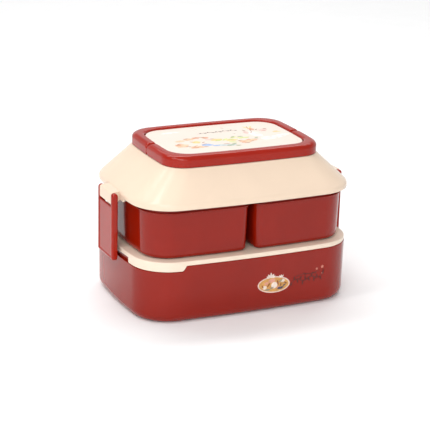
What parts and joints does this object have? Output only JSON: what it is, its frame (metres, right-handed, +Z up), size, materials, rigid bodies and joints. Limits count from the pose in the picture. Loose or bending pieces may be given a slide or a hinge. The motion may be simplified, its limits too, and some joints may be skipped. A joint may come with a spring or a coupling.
{
  "type": "lunch box",
  "caption": "Stacked lunch box: a deep lower box with lid, two upper boxes with inner lids, and a domed cover held by side latches, with a swing-up carrying handle.",
  "frame": {"origin": "centre of the base, on the plane that the box stands on", "axes": "+X along the long side towards the right latch, -Y towards the front (the carrying handle's side), +Z up"},
  "size_m": [0.2156, 0.1372, 0.1376],
  "materials": {
    "red_plastic": "glossy moulded, slightly soft reflections",
    "deep_red_plastic": "glossy moulded",
    "cream_plastic": "satin gloss moulded",
    "pale_cream_plastic": null,
    "silicone": "translucent white silicone, matte",
    "steel": "drawn steel pin"
  },
  "bodies": {
    "lower_box": {"lower_box": "red_plastic"},
    "lower_lid": {"lower_lid": "cream_plastic", "lower_lid_seal": "silicone"},
    "upper_box_left": {"upper_box_left": "red_plastic"},
    "upper_box_right": {"upper_box_right": "red_plastic"},
    "inner_lid_left": {"inner_lid_left": "cream_plastic", "inner_seal_left": "silicone"},
    "inner_lid_right": {"inner_lid_right": "cream_plastic", "inner_seal_right": "silicone"},
    "cover": {"cover_shell": "cream_plastic", "top_plate": "pale_cream_plastic", "rear_trim": "deep_red_plastic", "handle_pin_left": "steel", "handle_pin_right": "steel", "latch_pin_left": "steel", "latch_pin_right": "steel"},
    "carry_handle": {"carry_handle": "deep_red_plastic"},
    "latch_left": {"latch_left": "deep_red_plastic"},
    "latch_right": {"latch_right": "deep_red_plastic"}
  },
  "joints": [
    {"name": "lower_lid_lift", "type": "slide", "parent": "lower_box", "child": "lower_lid", "axis": [0, 0, 1], "range_m": [0, 0.06]},
    {"name": "upper_left_lift", "type": "slide", "parent": "lower_lid", "child": "upper_box_left", "axis": [0, 0, 1], "range_m": [0, 0.06]},
    {"name": "upper_right_lift", "type": "slide", "parent": "lower_lid", "child": "upper_box_right", "axis": [0, 0, 1], "range_m": [0, 0.06]},
    {"name": "inner_left_lift", "type": "slide", "parent": "upper_box_left", "child": "inner_lid_left", "axis": [0, 0, 1], "range_m": [0, 0.03]},
    {"name": "inner_right_lift", "type": "slide", "parent": "upper_box_right", "child": "inner_lid_right", "axis": [0, 0, 1], "range_m": [0, 0.03]},
    {"name": "cover_lift", "type": "slide", "parent": "inner_lid_left", "child": "cover", "axis": [0, 0, 1], "range_m": [0, 0.07]},
    {"name": "handle_swing", "type": "hinge", "parent": "cover", "child": "carry_handle", "pos_m": [0, -0.0062, 0.13275], "axis": [-1, 0, 0], "range_deg": [0, 90]},
    {"name": "latch_left_swing", "type": "hinge", "parent": "cover", "child": "latch_left", "pos_m": [-0.10505, 0, 0.0987], "axis": [0, 1, 0], "range_deg": [0, 110]},
    {"name": "latch_right_swing", "type": "hinge", "parent": "cover", "child": "latch_right", "pos_m": [0.10505, 0, 0.0987], "axis": [0, -1, 0], "range_deg": [0, 110]}
  ],
  "couplings": [
    {"joint": "upper_right_lift", "follows": "upper_left_lift", "ratio": 1},
    {"joint": "inner_right_lift", "follows": "inner_left_lift", "ratio": 1}
  ]
}
